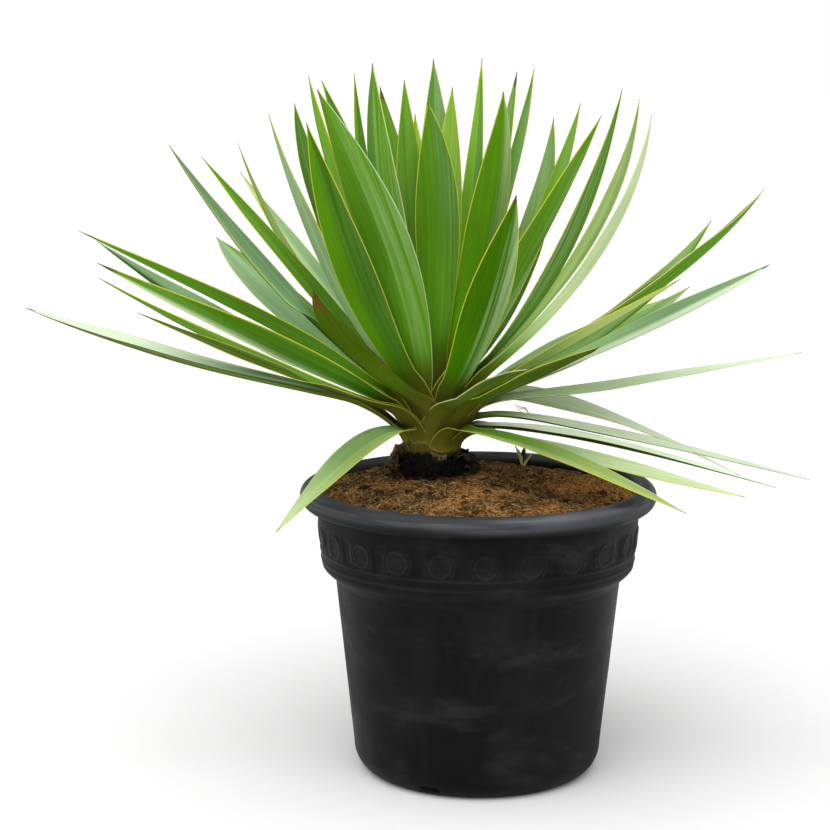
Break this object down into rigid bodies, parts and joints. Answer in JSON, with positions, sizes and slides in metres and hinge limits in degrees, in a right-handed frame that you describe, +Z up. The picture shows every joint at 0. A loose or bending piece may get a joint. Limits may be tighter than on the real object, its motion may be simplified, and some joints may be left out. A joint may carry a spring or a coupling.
{
  "type": "potted lone star yucca",
  "caption": "Lone star yucca in a black moulded nursery pot, its stiff sword-shaped green leaves fanning from a short off-centre stem in coir mix.",
  "frame": {"origin": "centre of the pot's underside", "axes": "+Z up; the picture looks along +Y, a little downwards; +X is to the picture's right"},
  "size_m": [0.8008, 0.6931, 0.7103],
  "materials": {
    "pot": "matte",
    "soil": "rough",
    "stem": "matte",
    "old_leaf_bases": "rough",
    "leaf": "satin"
  },
  "bodies": {
    "root": {"pot": "pot", "soil": "soil", "stem": "stem", "old_leaf_bases": "old_leaf_bases", "side_shoot": "leaf", "heart": "leaf", "leaf_01": "leaf", "leaf_02": "leaf", "leaf_03": "leaf", "leaf_04": "leaf", "leaf_05": "leaf", "leaf_06": "leaf", "leaf_07": "leaf", "leaf_08": "leaf", "leaf_09": "leaf", "leaf_10": "leaf", "leaf_11": "leaf", "leaf_12": "leaf", "leaf_13": "leaf", "leaf_14": "leaf", "leaf_15": "leaf", "leaf_16": "leaf", "leaf_17": "leaf", "leaf_18": "leaf", "leaf_19": "leaf", "leaf_20": "leaf", "leaf_21": "leaf", "leaf_22": "leaf", "leaf_23": "leaf", "leaf_24": "leaf", "leaf_25": "leaf", "leaf_26": "leaf", "leaf_27": "leaf", "leaf_28": "leaf", "leaf_29": "leaf", "leaf_30": "leaf", "leaf_31": "leaf", "leaf_32": "leaf", "leaf_33": "leaf", "leaf_34": "leaf", "leaf_35": "leaf", "leaf_36": "leaf", "leaf_37": "leaf", "leaf_38": "leaf", "leaf_39": "leaf", "leaf_40": "leaf", "leaf_41": "leaf", "leaf_42": "leaf", "leaf_43": "leaf", "leaf_44": "leaf", "leaf_45": "leaf", "leaf_46": "leaf", "leaf_47": "leaf", "leaf_48": "leaf", "leaf_49": "leaf", "leaf_50": "leaf", "leaf_51": "leaf", "leaf_52": "leaf", "leaf_53": "leaf", "leaf_54": "leaf"}
  },
  "joints": []
}
